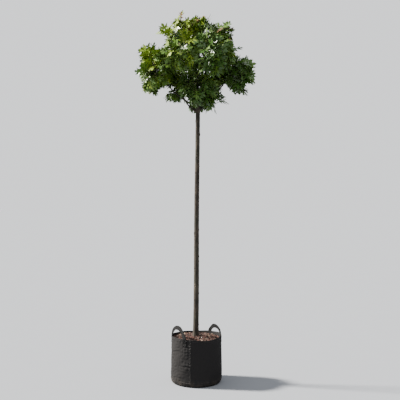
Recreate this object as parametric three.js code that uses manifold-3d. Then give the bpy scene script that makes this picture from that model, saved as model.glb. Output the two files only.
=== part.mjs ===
// A young pin oak, grafted on a clear stem to a ball-shaped crown, standing on its root ball
// in a black fabric nursery bag with two webbing handles.
//
// Millimetres, +Z up. The origin is the centre of the bag's flat underside.
// +X is the viewer's right and -Y the viewer's side.
import * as THREE from "three";
import { mergeVertices } from "three/addons/utils/BufferGeometryUtils.js";
import Module from "manifold-3d";

const wasm = await Module();
wasm.setup();

const GAP = 0.3; // clearance between pieces that rest on each other
const GOLDEN_ANGLE = Math.PI * (3 - Math.sqrt(5));
const UP = new THREE.Vector3(0, 0, 1);
const vec = (x, y, z) => new THREE.Vector3(x, y, z);
const rad = THREE.MathUtils.degToRad;
const lerp = THREE.MathUtils.lerp;
const bell = (x, centre, width) => Math.exp(-(((x - centre) / width) ** 2));

// ---------------------------------------------------------------- driving dimensions

const BAG_RADIUS = 205;
const BAG_HEIGHT = 366; // to the rim, midway between the handles
const BAG_WALL = 3;
const BAG_FOOT_RADIUS = 182; // the flat underside
const BAG_SIDES = 36;
const RIM_LIFT = 12; // how far a handle's feet pull the rim up
const HANDLES = {
  handle_front_left: { azimuth: rad(-148), arch: 92 },
  handle_back_right: { azimuth: rad(24), arch: 71 },
};

const SOIL_TOP = 345;
const MULCH_EDGE = 352;
const MULCH_CROWN = 372; // against the trunk

const TRUNK_TOP = 2335;
const TRUNK_FOOT_RADIUS = 23.5;
const TRUNK_HEAD_RADIUS = 17.5;
const GRAFT_HEIGHT = 2262;

const LEAF_LENGTH = 155;
const LEAVES_PER_TIP = 5;
const TIPS_PER_MASS = 6;

// ---------------------------------------------------------------- closed meshes and booleans

// A closed mesh's shared vertices, merged, as a manifold solid.
function solidOf(geometry) {
  const bare = geometry.clone();
  bare.deleteAttribute("normal");
  bare.deleteAttribute("uv");
  const merged = mergeVertices(bare, 1e-4);
  return new wasm.Manifold(
    new wasm.Mesh({
      numProp: 3,
      vertProperties: new Float32Array(merged.attributes.position.array),
      triVerts: new Uint32Array(merged.index.array),
    }),
  );
}

function geometryOf(solid) {
  const mesh = solid.getMesh();
  const geometry = new THREE.BufferGeometry();
  geometry.setAttribute("position", new THREE.BufferAttribute(mesh.vertProperties, 3));
  geometry.setIndex(new THREE.BufferAttribute(mesh.triVerts, 1));
  geometry.computeVertexNormals();
  return geometry;
}

function indexed(points, triangles) {
  const geometry = new THREE.BufferGeometry();
  const flat = points.flatMap((p) => [p.x, p.y, p.z]);
  geometry.setAttribute("position", new THREE.Float32BufferAttribute(flat, 3));
  geometry.setIndex(triangles);
  return geometry;
}

// A closed limb: one ring of points round each centre, a fan over each end.
// radiusAt(ring, angle) is the distance from the centre line. The rings stand square to the line, or level.
function limb(centres, radiusAt, sides, level = false) {
  const points = [];
  const triangles = [];
  let across = Math.abs(centres[1].clone().sub(centres[0]).normalize().x) > 0.9 ? vec(0, 1, 0) : vec(1, 0, 0);
  centres.forEach((centre, ring) => {
    const before = centres[Math.max(ring - 1, 0)];
    const after = centres[Math.min(ring + 1, centres.length - 1)];
    const along = level ? UP.clone() : after.clone().sub(before).normalize();
    across = across.clone().addScaledVector(along, -across.dot(along)).normalize();
    const third = along.clone().cross(across);
    for (let side = 0; side < sides; side++) {
      const angle = (2 * Math.PI * side) / sides;
      const radius = radiusAt(ring, angle);
      points.push(
        centre
          .clone()
          .addScaledVector(across, radius * Math.cos(angle))
          .addScaledVector(third, radius * Math.sin(angle)),
      );
    }
  });
  for (let ring = 0; ring < centres.length - 1; ring++) {
    for (let side = 0; side < sides; side++) {
      const a = ring * sides + side;
      const b = ring * sides + ((side + 1) % sides);
      triangles.push(a, b, b + sides, a, b + sides, a + sides);
    }
  }
  const foot = points.length;
  points.push(centres[0].clone(), centres[centres.length - 1].clone());
  const lastRing = (centres.length - 1) * sides;
  for (let side = 0; side < sides; side++) {
    const next = (side + 1) % sides;
    triangles.push(foot, next, side, foot + 1, lastRing + side, lastRing + next);
  }
  return indexed(points, triangles);
}

// ---------------------------------------------------------------- materials

const finish = (color, roughness) => new THREE.MeshStandardMaterial({ color, roughness, metalness: 0 });
const MATERIALS = {
  fabric: finish(0x2b2b2d, 0.85),
  webbing: finish(0x1b1b1e, 0.8),
  soil: finish(0x3a2b22, 1),
  mulch: finish(0x7d5548, 0.95),
  bark: finish(0x5b5047, 0.9),
  foliage: finish(0x3f6626, 0.45),
};

const plant = new THREE.Group();
plant.name = "sapling";

function addPiece(name, geometry, material) {
  const mesh = new THREE.Mesh(geometry, material);
  mesh.name = name;
  plant.add(mesh);
}

// ---------------------------------------------------------------- bag, root ball and mulch

// The rim stands a little higher where the handles' feet pull on it.
function rimHeight(azimuth) {
  const around = azimuth - HANDLES.handle_back_right.azimuth;
  return BAG_HEIGHT + (RIM_LIFT * (1 + Math.cos(2 * around))) / 2;
}

const BELLY = 3; // how far the filled wall swells in its lower third
const DRAW_IN = 3; // how far it is drawn in at the rim

// The outer wall's radius: full in its lower third, drawn in a little at the rim, and never quite round.
function bagRadius(azimuth, z) {
  const full = BAG_RADIUS + BELLY * bell(z, 0.3 * BAG_HEIGHT, 120) - DRAW_IN * bell(z, BAG_HEIGHT, 60);
  const slack = 1.6 * Math.cos(3 * azimuth + 0.7) + 1.2 * Math.cos(5 * azimuth - 0.4);
  return full + slack * Math.min(z / 60, 1);
}

// The foot's profile, from the underside's edge to the upright wall: [share of the radius, height].
const FOOT_PROFILE = [
  [BAG_FOOT_RADIUS / BAG_RADIUS, 0],
  [0.96, 8],
  [1, 32],
];
const WALL_HEIGHTS = [105, 195, 290]; // rings between the foot and the rim

// Rings from bottom to top, each a function of azimuth that gives [radius, height].
// The foot's rings stand a floor's thickness higher on an inner skin.
function wallRings(inset, floor, top) {
  const rings = FOOT_PROFILE.map(([share, height]) => (azimuth) => [
    share * bagRadius(azimuth, height) - inset,
    height + floor,
  ]);
  WALL_HEIGHTS.forEach((height) => {
    rings.push((azimuth) => [bagRadius(azimuth, height) - inset, height]);
  });
  rings.push((azimuth) => [bagRadius(azimuth, top(azimuth)) - inset, top(azimuth)]);
  return rings;
}

// A closed skin over rings, with its first and last ring fanned to a point on the axis.
function roundBody(rings, lowCentre, highCentre) {
  const points = [];
  const triangles = [];
  rings.forEach((ring) => {
    for (let side = 0; side < BAG_SIDES; side++) {
      const azimuth = (2 * Math.PI * side) / BAG_SIDES;
      const [radius, height] = ring(azimuth);
      points.push(vec(radius * Math.cos(azimuth), radius * Math.sin(azimuth), height));
    }
  });
  for (let ring = 0; ring < rings.length - 1; ring++) {
    for (let side = 0; side < BAG_SIDES; side++) {
      const a = ring * BAG_SIDES + side;
      const b = ring * BAG_SIDES + ((side + 1) % BAG_SIDES);
      triangles.push(a, b, b + BAG_SIDES, a, b + BAG_SIDES, a + BAG_SIDES);
    }
  }
  const low = points.length;
  points.push(vec(0, 0, lowCentre), vec(0, 0, highCentre));
  const last = (rings.length - 1) * BAG_SIDES;
  for (let side = 0; side < BAG_SIDES; side++) {
    const next = (side + 1) % BAG_SIDES;
    triangles.push(low, next, side, low + 1, last + side, last + next);
  }
  return indexed(points, triangles);
}

// The bag is open at the top: an outer skin, then an inner one that runs back down to the floor.
function grow_bag() {
  const outside = wallRings(0, 0, rimHeight);
  const inside = wallRings(BAG_WALL, BAG_WALL, rimHeight).reverse();
  return roundBody([...outside, ...inside], 0, BAG_WALL);
}

// The root ball fills the bag to just below the rim.
function root_ball() {
  const rings = wallRings(BAG_WALL + 2 * GAP, BAG_WALL + GAP, () => SOIL_TOP);
  return roundBody(rings, BAG_WALL + GAP, SOIL_TOP);
}

const MULCH_SHARES = [0.82, 0.5, 0.24]; // of the bag's radius, for the rings of its top
const MULCH_LUMP = 3;

// The mulch is a low ring round the trunk, lumpy on top, that lies on the soil.
function mulch_layer() {
  const wall = (azimuth, z) => bagRadius(azimuth, z) - BAG_WALL - GAP;
  const rings = [
    (azimuth) => [wall(azimuth, SOIL_TOP), SOIL_TOP + GAP],
    (azimuth) => [wall(azimuth, MULCH_EDGE), MULCH_EDGE],
  ];
  MULCH_SHARES.forEach((share, ring) => {
    const lump = (azimuth) => MULCH_LUMP * Math.sin(7 * azimuth + 2 * ring) * Math.sin(11 * azimuth - ring);
    rings.push((azimuth) => [share * BAG_RADIUS, lerp(MULCH_CROWN, MULCH_EDGE, share) + lump(azimuth)]);
  });
  const layer = solidOf(roundBody(rings, SOIL_TOP + GAP, MULCH_CROWN));
  return geometryOf(layer.subtract(solidOf(trunk(GAP))));
}

// ---------------------------------------------------------------- handles

const STRAP_WIDTH = 30;
const STRAP_THICKNESS = 3;
const STRAP_SPREAD = rad(31.5); // from a handle's middle to each foot
const STRAP_FOOT = 60; // sewn length below the rim
const STRAP_FREE = 4; // height above the rim at which the strap leaves the wall
const FOOT_SHARE = 0.18; // of the strap's steps, at each end
const STRAP_STEPS = 22;
const LOOP_ROUNDNESS = 1.9; // power of the loop's outline: 1 is a tent, 2 a parabola
const STRAP_SECTION = [
  [-1, -1],
  [1, -1],
  [1, 1],
  [-1, 1],
];

function polar(azimuth, radius, z) {
  return vec(radius * Math.cos(azimuth), radius * Math.sin(azimuth), z);
}

// The strap lies flat on the wall at its feet, stands up in the plane through both of them,
// and turns its face upwards over the top of the loop.
function handle({ azimuth, arch }) {
  const points = [];
  const triangles = [];
  const offset = 3 * GAP + STRAP_THICKNESS / 2;
  const onWall = (side, below) => {
    const around = azimuth + side * STRAP_SPREAD;
    const z = rimHeight(around) + STRAP_FREE - below;
    return polar(around, bagRadius(around, Math.min(z, BAG_HEIGHT)) + offset, z);
  };
  const centreAt = (t) => {
    const across = (t - FOOT_SHARE) / (1 - 2 * FOOT_SHARE);
    if (across <= 0) return onWall(-1, STRAP_FOOT * (1 - t / FOOT_SHARE));
    if (across >= 1) return onWall(1, STRAP_FOOT * (1 - (1 - t) / FOOT_SHARE));
    const centre = onWall(-1, 0).lerp(onWall(1, 0), across);
    centre.z += arch * (1 - Math.abs(2 * across - 1) ** LOOP_ROUNDNESS);
    return centre;
  };
  for (let step = 0; step <= STRAP_STEPS; step++) {
    const t = step / STRAP_STEPS;
    const centre = centreAt(t);
    const along = centreAt(Math.min(t + 0.01, 1)).sub(centreAt(Math.max(t - 0.01, 0))).normalize();
    const radial = vec(centre.x, centre.y, 0).normalize();
    const upwards = Math.sin(Math.PI * THREE.MathUtils.clamp((t - 0.2) / 0.6, 0, 1)) ** 1.5;
    const face = radial.multiplyScalar(1 - upwards).addScaledVector(UP, upwards);
    face.addScaledVector(along, -face.dot(along)).normalize();
    const width = face.clone().cross(along);
    STRAP_SECTION.forEach(([w, f]) => {
      points.push(
        centre
          .clone()
          .addScaledVector(width, (w * STRAP_WIDTH) / 2)
          .addScaledVector(face, (f * STRAP_THICKNESS) / 2),
      );
    });
  }
  for (let step = 0; step < STRAP_STEPS; step++) {
    for (let side = 0; side < 4; side++) {
      const a = step * 4 + side;
      const b = step * 4 + ((side + 1) % 4);
      triangles.push(a, b, b + 4, a, b + 4, a + 4);
    }
  }
  const last = STRAP_STEPS * 4;
  triangles.push(0, 2, 1, 0, 3, 2, last, last + 1, last + 2, last, last + 2, last + 3);
  return indexed(points, triangles);
}

// ---------------------------------------------------------------- trunk

const TRUNK_FOOT = SOIL_TOP + GAP;
const TRUNK_SIDES = 12;
const TRUNK_LEAN = 17; // to the viewer's right, over its whole height
const FLARE = 10; // of the root collar, beyond the taper
const BUTTRESS = 2.4; // five low ridges round the collar
const GRAFT_SWELL = 9;
const RING_HEIGHTS = [0, 14, 32, 60, 120, 300, 520, 760, 1000, 1240, 1480, 1720, 1860, 1890, 1920, 1950];

// The stem leans a little, with a slight double bend.
function trunkAxis(z) {
  const t = (z - TRUNK_FOOT) / (TRUNK_TOP - TRUNK_FOOT);
  return vec(-4 + TRUNK_LEAN * t + 1.5 * Math.sin(9 * t), 2 * Math.sin(7 * t + 0.5), z);
}

function trunkRadius(z) {
  const t = (z - TRUNK_FOOT) / (TRUNK_TOP - TRUNK_FOOT);
  const taper = lerp(TRUNK_FOOT_RADIUS, TRUNK_HEAD_RADIUS, t);
  const flare = FLARE * Math.exp(-(z - TRUNK_FOOT) / 38);
  return taper + flare + GRAFT_SWELL * bell(z, GRAFT_HEIGHT, 42);
}

// grown: how much thicker than life, for cutting its neighbours clear of it.
function trunk(grown = 0) {
  const rings = RING_HEIGHTS.map((height) => ({ z: TRUNK_FOOT + height, share: 1 }));
  rings.push({ z: TRUNK_TOP - 8, share: 0.8 }, { z: TRUNK_TOP + grown, share: 0.35 });
  const radiusAt = (ring, angle) => {
    const { z, share } = rings[ring];
    const ridge = BUTTRESS * Math.cos(5 * angle) * Math.exp(-(z - TRUNK_FOOT) / 26);
    return share * (trunkRadius(z) + ridge) + grown;
  };
  const centres = rings.map(({ z }) => trunkAxis(z));
  return limb(centres, radiusAt, TRUNK_SIDES, true);
}

// ---------------------------------------------------------------- crown

// Each mass of foliage keeps to a ball of space: its centre and radius,
// and the height at which its bough leaves the trunk.
const MASSES = {
  top_left: { centre: vec(-136, -40, 2826), radius: 206, fork: 2304 },
  top_back: { centre: vec(24, 130, 2846), radius: 206, fork: 2318 },
  top_right: { centre: vec(130, -90, 2786), radius: 204, fork: 2306 },
  right_upper: { centre: vec(290, 100, 2610), radius: 206, fork: 2276 },
  right: { centre: vec(322, -80, 2500), radius: 202, fork: 2252 },
  low_right: { centre: vec(136, -70, 2342), radius: 180, fork: 2216 },
  low_front: { centre: vec(10, -190, 2376), radius: 180, fork: 2230 },
  low_left: { centre: vec(-176, -10, 2376), radius: 176, fork: 2208 },
  left_low: { centre: vec(-330, -100, 2480), radius: 176, fork: 2244 },
  left: { centre: vec(-324, 60, 2624), radius: 206, fork: 2272 },
  front_left: { centre: vec(-150, -290, 2630), radius: 206, fork: 2290 },
  front_right: { centre: vec(120, -300, 2610), radius: 208, fork: 2284 },
  back_left: { centre: vec(-130, 300, 2640), radius: 208, fork: 2296 },
  back_right: { centre: vec(150, 290, 2540), radius: 208, fork: 2262 },
  low_back: { centre: vec(-10, 180, 2390), radius: 180, fork: 2224 },
};
const BOUGH_ROOT_RADIUS = 8;
const BOUGH_TIP_RADIUS = 4.5;
const BOUGH_STEPS = 3;
const BOUGH_SIDES = 5;
const BOUGH_ENTRY = 0.72; // it ends this share of the radius short of its mass's centre
const BOUGH_BEND = 0.38; // share of its spread at which it turns up
const BOUGH_RISE = 0.3; // share of its rise that it has made by then
const CELL_MARGIN = 2; // between a mass's leaves and the plane it shares with a neighbour

// A bough leaves the trunk's axis outwards, bends up and ends just inside its mass.
function boughLine(mass) {
  const start = trunkAxis(mass.fork);
  const reach = mass.centre.clone().sub(start);
  const end = start.clone().addScaledVector(reach, 1 - (BOUGH_ENTRY * mass.radius) / reach.length());
  const spread = vec(reach.x, reach.y, 0);
  const control = start.clone().addScaledVector(spread, BOUGH_BEND);
  control.z = lerp(start.z, end.z, BOUGH_RISE);
  return new THREE.QuadraticBezierCurve3(start, control, end).getPoints(BOUGH_STEPS);
}

function boughRadius(step) {
  return lerp(BOUGH_ROOT_RADIUS, BOUGH_TIP_RADIUS, step / BOUGH_STEPS);
}

// A mass's own cell: inside its ball, and on its own side of the plane in which that meets each other ball.
function inSpace(name, point) {
  const own = MASSES[name];
  const power = (mass) => mass.centre.distanceToSquared(point) - mass.radius ** 2;
  if (power(own) > 0) return false;
  return Object.keys(MASSES).every((other) => {
    if (other === name) return true;
    const apart = MASSES[other].centre.distanceTo(own.centre);
    return power(MASSES[other]) - power(own) > 2 * apart * CELL_MARGIN;
  });
}

// The room that the trunk and the boughs take up, with some to spare, for twigs and leaves to keep out of.
const LIMB_CLEARANCE = 3;
const limbSpace = wasm.Manifold.union([
  solidOf(trunk(LIMB_CLEARANCE)),
  ...Object.values(MASSES).map((mass) =>
    solidOf(limb(boughLine(mass), (ring) => boughRadius(ring) + LIMB_CLEARANCE, BOUGH_SIDES)),
  ),
]);

const crosses = (solid, other) => solid.intersect(other).volume() > 0;

// A leaf's outline on one side, root to tip: [across, along], in leaf lengths.
// It has a narrow stalk, two lobes a side and a pointed end.
const LOBES = [
  [0.025, 0.15],
  [0.38, 0.4],
  [0.12, 0.55],
  [0.36, 0.8],
];
const LEAF_THICKNESS = 0.03; // at its middle
const LEAF_MIDDLE = 0.54;
const LEAF_DROOP = 0.22; // of its tip
const LEAF_TROUGH = 0.16; // rise of its sides from the midrib

// A leaf's corners: the root, one side, the tip, the other side, then the top and underside of its middle.
function leafCorners(root, along, face, length) {
  const across = along.clone().cross(face).normalize();
  const up = across.clone().cross(along).normalize();
  const at = (u, v, lift) =>
    root
      .clone()
      .addScaledVector(across, u * length)
      .addScaledVector(along, v * length)
      .addScaledVector(up, (lift - LEAF_DROOP * v * v + LEAF_TROUGH * Math.abs(u)) * length);
  const right = LOBES.map(([u, v]) => at(u, v, 0));
  const left = LOBES.map(([u, v]) => at(-u, v, 0)).reverse();
  const half = LEAF_THICKNESS / 2;
  const middles = [at(0, LEAF_MIDDLE, half), at(0, LEAF_MIDDLE, -half)];
  return [at(0, 0, 0), ...right, at(0, 1, 0), ...left, ...middles];
}

function leafSolid(corners) {
  const outline = corners.length - 2;
  const triangles = [];
  for (let corner = 0; corner < outline; corner++) {
    const next = (corner + 1) % outline;
    triangles.push(corner, next, outline, next, corner, outline + 1);
  }
  return solidOf(indexed(corners, triangles));
}

// The additive sequence in three dimensions: even over the unit cube however far it is carried.
const PLASTIC = 1.2207440846057596;
function spread(index, seed) {
  return [1, 2, 3].map((power) => (0.5 + seed * 0.137 + (index + 1) / PLASTIC ** power) % 1);
}

// A direction at an angle off an axis.
function offAxis(axis, cosine, turn) {
  const side = Math.abs(axis.z) > 0.9 ? vec(1, 0, 0) : vec(0, 0, 1);
  const across = side.addScaledVector(axis, -side.dot(axis)).normalize();
  const third = axis.clone().cross(across);
  const sine = Math.sqrt(Math.max(1 - cosine * cosine, 0));
  return axis
    .clone()
    .multiplyScalar(cosine)
    .addScaledVector(across, sine * Math.cos(turn))
    .addScaledVector(third, sine * Math.sin(turn));
}

const TWIG_ROOT_RADIUS = 3.4;
const TWIG_RADIUS = 2.6;
const BUD_RADIUS = 10;
const BUD_NECK = 10; // before the tip
const BUD_CROWN = 4; // beyond it
const STEM_SHARE = 0.38; // of a mass's radius, from its root to its first bud
const WIDEST_COSINE = -0.55; // tips reach this far round the back of their mass's ball
const INNER_SHARE = 0.36; // of the ball's radius, where the tips' shell begins
const OUTER_SHARE = 0.66;
const TIP_SPACING = 55;
const MOST_TRIES = 24; // places tried for the tips of a mass
const LEAF_TURNS = 10; // directions tried round a tip
const MOST_OUTWARD = 0.85; // cosine of the first leaf's lean off its tip's own axis
const MOST_INWARD = -0.3;
const LEAF_SCALES = [1, 0.85, 0.7];
const LEAF_DEPTH = 3; // its root's, in the bud
const LEAF_SAG = 0.18; // how far its direction hangs

// A three-sided twig that swells to a bud at its end.
function twig(from, to) {
  const along = to.clone().sub(from).normalize();
  const neck = to.clone().addScaledVector(along, -BUD_NECK);
  const end = to.clone().addScaledVector(along, BUD_CROWN);
  const radii = [TWIG_ROOT_RADIUS, TWIG_RADIUS, BUD_RADIUS];
  return solidOf(limb([from, neck, end], (ring) => radii[ring], 3));
}

// One mass: a stem from its bough's tip, twigs that each join the nearest wood, and leaves round every tip.
function foliage(name, seed) {
  const mass = MASSES[name];
  const line = boughLine(mass);
  const tip = line[BOUGH_STEPS];
  const onward = tip.clone().sub(line[BOUGH_STEPS - 1]).normalize();
  const root = tip.clone().addScaledVector(onward, GAP);
  const heart = root.clone().addScaledVector(onward, STEM_SHARE * mass.radius);
  const outward = mass.centre.clone().sub(trunkAxis(GRAFT_HEIGHT)).normalize();
  const wood = [heart];
  const tips = [];
  const blades = [];
  const parts = [twig(root, heart)];
  for (let index = 0; tips.length < TIPS_PER_MASS && index < MOST_TRIES; index++) {
    const [a, b, c] = spread(index, seed);
    const direction = offAxis(outward, lerp(1, WIDEST_COSINE, a), 2 * Math.PI * b);
    const depth = mass.radius * lerp(INNER_SHARE, OUTER_SHARE, c);
    const point = mass.centre.clone().addScaledVector(direction, depth);
    const from = wood.reduce((best, node) => (node.distanceTo(point) < best.distanceTo(point) ? node : best));
    const wooden = twig(from, point);
    if (!inSpace(name, point) || crosses(wooden, limbSpace)) continue;
    if (tips.some((other) => other.distanceTo(point) < TIP_SPACING)) continue;
    parts.push(wooden);
    wood.push(point);
    tips.push(point);
    growLeaves(name, point, index + seed, wooden, blades);
  }
  return geometryOf(wasm.Manifold.union([...parts, ...blades]));
}

// Leaves stand round a tip by the golden angle, lean outwards and droop. One that would leave
// the mass's space, touch a limb or cross another leaf is tried smaller, then skipped.
function growLeaves(name, tip, phase, wooden, blades) {
  const axis = tip.clone().sub(MASSES[name].centre).normalize();
  const face = UP.clone().multiplyScalar(0.5).addScaledVector(axis, 0.9);
  let grown = 0;
  for (let turn = 0; turn < LEAF_TURNS && grown < LEAVES_PER_TIP; turn++) {
    const cosine = lerp(MOST_OUTWARD, MOST_INWARD, turn / LEAF_TURNS);
    const along = offAxis(axis, cosine, GOLDEN_ANGLE * turn + 1.7 * phase);
    along.z -= LEAF_SAG;
    along.normalize();
    const base = tip.clone().addScaledVector(along, -LEAF_DEPTH);
    for (const scale of LEAF_SCALES) {
      const length = scale * LEAF_LENGTH;
      const corners = leafCorners(base, along, face, length);
      if (!corners.every((corner) => inSpace(name, corner))) continue;
      const blade = leafSolid(corners);
      const outside = blade.subtract(wooden);
      if (crosses(blade, limbSpace) || blades.some((other) => crosses(other, outside))) continue;
      blades.push(blade);
      grown += 1;
      break;
    }
  }
}

// ---------------------------------------------------------------- assembly

addPiece("grow_bag", grow_bag(), MATERIALS.fabric);
addPiece("root_ball", root_ball(), MATERIALS.soil);
addPiece("mulch_layer", mulch_layer(), MATERIALS.mulch);
Object.entries(HANDLES).forEach(([name, place]) => addPiece(name, handle(place), MATERIALS.webbing));
addPiece("trunk", trunk(), MATERIALS.bark);
const trunkSpace = solidOf(trunk(GAP));
Object.entries(MASSES).forEach(([name, mass], seed) => {
  const whole = solidOf(limb(boughLine(mass), boughRadius, BOUGH_SIDES));
  addPiece("bough_" + name, geometryOf(whole.subtract(trunkSpace)), MATERIALS.bark);
  addPiece("foliage_" + name, foliage(name, seed), MATERIALS.foliage);
});

export default plant;
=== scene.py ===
import bpy
import numpy as np
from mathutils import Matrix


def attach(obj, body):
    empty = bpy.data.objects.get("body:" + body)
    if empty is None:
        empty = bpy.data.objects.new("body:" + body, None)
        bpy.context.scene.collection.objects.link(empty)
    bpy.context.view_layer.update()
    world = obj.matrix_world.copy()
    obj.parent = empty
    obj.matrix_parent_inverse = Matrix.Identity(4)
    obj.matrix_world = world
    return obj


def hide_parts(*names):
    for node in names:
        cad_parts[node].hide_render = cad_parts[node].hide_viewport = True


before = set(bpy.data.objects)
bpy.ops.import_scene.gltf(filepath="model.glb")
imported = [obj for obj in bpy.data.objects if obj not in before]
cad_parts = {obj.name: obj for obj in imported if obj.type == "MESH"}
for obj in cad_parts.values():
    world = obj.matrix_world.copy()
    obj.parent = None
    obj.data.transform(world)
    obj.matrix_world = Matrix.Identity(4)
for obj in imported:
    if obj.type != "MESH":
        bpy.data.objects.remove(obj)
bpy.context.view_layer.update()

# A young pin oak, grafted on a clear stem to a ball-shaped crown, in its black felted nursery bag.
# Metres, +Z up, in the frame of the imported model: the origin is the centre of the bag's flat underside,
# +X is the viewer's right and -Y the viewer's side.

# ---------------------------------------------------------------- grow bag
# A round pot sewn from needle-felted black cloth, which stands by itself once it is filled.
# Its wall is one strip, closed by a lapped side seam. The base is sewn in round the foot,
# and the top edge is folded over and stitched down as a hem.

BAG_RADIUS = 0.205
BAG_HEIGHT = 0.366
HEM_RISE = 0.006  # of the folded rim over that, midway between the handles
RIM_LIFT = 0.012  # how far a handle's feet pull the rim up
BAG_WALL = 0.003
FOOT_RADIUS = 0.182  # the flat underside
FOOT_HEIGHT = 0.032  # where the wall stands upright
HANDLES = {  # azimuth of the middle, height of the loop over its feet, and how far its top leans out
    "handle_front_left": (np.radians(-148), 0.072, np.radians(20)),
    "handle_back_right": (np.radians(24), 0.055, np.radians(8)),
}
HANDLE_SPREAD = np.radians(31.5)  # from a handle's middle to each foot
SEAM_AZIMUTH = np.radians(-101.5)
HEM_DEPTH = 0.021
LAP_WIDTH = 0.013
FOLD = 0.0016  # how much a second layer of cloth stands out
ROLL_HEIGHT = 0.0015  # of the rounded top of the fold
LUMP, CRUMPLE, PUCKER, PLEAT = 0.0009, 0.0013, 0.0019, 0.0006  # how far each stands out
PUCKER_PITCH = 0.024
CREASES = (  # height, azimuth in degrees, half width in radians, depth
    (0.272, -148, 0.50, 0.0030),
    (0.161, -118, 0.24, 0.0022),
    (0.214, -160, 0.30, 0.0014),
    (0.118, -130, 0.35, 0.0013),
    (0.066, -150, 0.45, 0.0020),
    (0.235, 60, 0.50, 0.0024),
    (0.140, 95, 0.45, 0.0018),
    (0.285, 10, 0.40, 0.0016),
)
CRUMPLE_WAVES = ((24, 20), (-11, 124), (19, -105), (6, 160), (-27, -54))  # by the radian, by the metre
SLACK_SIDE = np.radians(-140)  # where the cloth hangs loosest
BLACK_FELT = (0.0125, 0.0124, 0.0134, 1)
WORN_FELT = (0.0185, 0.0168, 0.0150, 1)
DUST = (0.062, 0.050, 0.038, 1)


class Socket:
    """The output of a shader node. Arithmetic on it adds Math nodes."""

    def __init__(self, paint, output):
        self.paint = paint
        self.output = output

    def math(self, operation, left, right):
        """A Math node on two numbers or sockets."""
        return self.paint.node("ShaderNodeMath", {"operation": operation}, {0: left, 1: right})

    def __add__(self, other):
        return self.math("ADD", self, other)

    def __sub__(self, other):
        return self.math("SUBTRACT", self, other)

    def __rsub__(self, other):
        return self.math("SUBTRACT", other, self)

    def __mul__(self, other):
        return self.math("MULTIPLY", self, other)

    def __truediv__(self, other):
        return self.math("DIVIDE", self, other)

    def __rtruediv__(self, other):
        return self.math("DIVIDE", other, self)

    __radd__ = __add__
    __rmul__ = __mul__


class Paint:
    """A material that is built node by node onto one Principled shader."""

    def __init__(self, name, **constants):
        self.material = bpy.data.materials.new(name)
        self.material.use_nodes = True
        self.tree = self.material.node_tree
        self.shader = self.tree.nodes["Principled BSDF"]
        self.place = self.node("ShaderNodeTexCoord", {}, {}, "Object")
        for socket, value in constants.items():
            self.shader.inputs[socket.replace("_", " ")].default_value = value

    def node(self, kind, settings, inputs, output=0):
        """Adds a node: its settings first, then its sockets' values or links."""
        made = self.tree.nodes.new(kind)
        for name, value in settings.items():
            setattr(made, name, value)
        for name, value in inputs.items():
            self.feed(made.inputs[name], value)
        return Socket(self, made.outputs[output])

    def feed(self, target, value):
        """Links a socket's output to an input, or sets the input to a plain value."""
        if isinstance(value, Socket):
            self.tree.links.new(value.output, target)
        else:
            target.default_value = value

    def stretched(self, squeeze):
        """The place on the object, squeezed along each axis, which stretches what is laid on it."""
        return self.node("ShaderNodeMapping", {}, {"Vector": self.place, "Scale": squeeze})

    def noise(self, scale, detail=2.0, squeeze=(1, 1, 1)):
        """Noise from 0 to 1 over the object."""
        inputs = {"Vector": self.stretched(squeeze), "Scale": scale, "Detail": detail}
        return self.node("ShaderNodeTexNoise", {}, inputs, "Fac")

    def between(self, value, low, high):
        """0 where the value is under low, 1 over high, and smooth in between."""
        settings = {"interpolation_type": "SMOOTHSTEP"}
        inputs = {"Value": value, "From Min": low, "From Max": high}
        return self.node("ShaderNodeMapRange", settings, inputs)

    def mix(self, share, first, second):
        """The first colour where share is 0, the second where it is 1."""
        return self.node("ShaderNodeMix", {"data_type": "RGBA"}, {0: share, 6: first, 7: second}, 2)

    def wave(self, turns):
        """A sine from 0 to 1 that repeats with each whole turn."""
        sine = self.node("ShaderNodeMath", {"operation": "SINE"}, {0: turns * (2 * np.pi)})
        return sine * 0.5 + 0.5

    def split(self, vector):
        """The three coordinates of a vector."""
        parts = self.node("ShaderNodeSeparateXYZ", {}, {"Vector": vector})
        return [Socket(self, output) for output in parts.output.node.outputs]

    def finish(self, colour, roughness, relief, depth):
        """Feeds the shader; relief is a height from 0 to 1 that stands for depth metres."""
        bump = self.node("ShaderNodeBump", {}, {"Height": relief, "Distance": depth, "Strength": 1.0})
        self.feed(self.shader.inputs["Base Color"], colour)
        self.feed(self.shader.inputs["Roughness"], roughness)
        self.feed(self.shader.inputs["Normal"], bump)
        return self.material


def bell(x, centre, width):
    """A bump of height 1 at the centre, by exp(-((x - centre) / width) squared)."""
    return np.exp(-(((x - centre) / width) ** 2))


def lerp(low, high, share):
    """Low where share is 0, high where it is 1, and even in between."""
    return low + (high - low) * share


def turned(azimuth, centre):
    """The angle from centre to azimuth, between -pi and pi."""
    return (azimuth - centre + np.pi) % (2 * np.pi) - np.pi


def rim_height(azimuth):
    """The rim stands a little higher where the handles' feet pull on it, by one wave of cos 2a,
    and wanders by smaller waves."""
    around = azimuth - HANDLES["handle_back_right"][0]
    wander = 0.0022 * np.sin(3 * azimuth + 1) + 0.0013 * np.sin(7 * azimuth)
    return BAG_HEIGHT + HEM_RISE + RIM_LIFT * (1 + np.cos(2 * around)) / 2 + wander


def bag_radius(azimuth, z):
    """The even wall: full in its lower third, drawn in at the rim, and never quite round."""
    full = BAG_RADIUS + 0.003 * bell(z, 0.3 * BAG_HEIGHT, 0.120) - 0.003 * bell(z, BAG_HEIGHT, 0.060)
    slack = 0.0016 * np.cos(3 * azimuth + 0.7) + 0.0012 * np.cos(5 * azimuth - 0.4)
    return full + slack * np.clip(z / 0.060, 0, 1)


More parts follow.
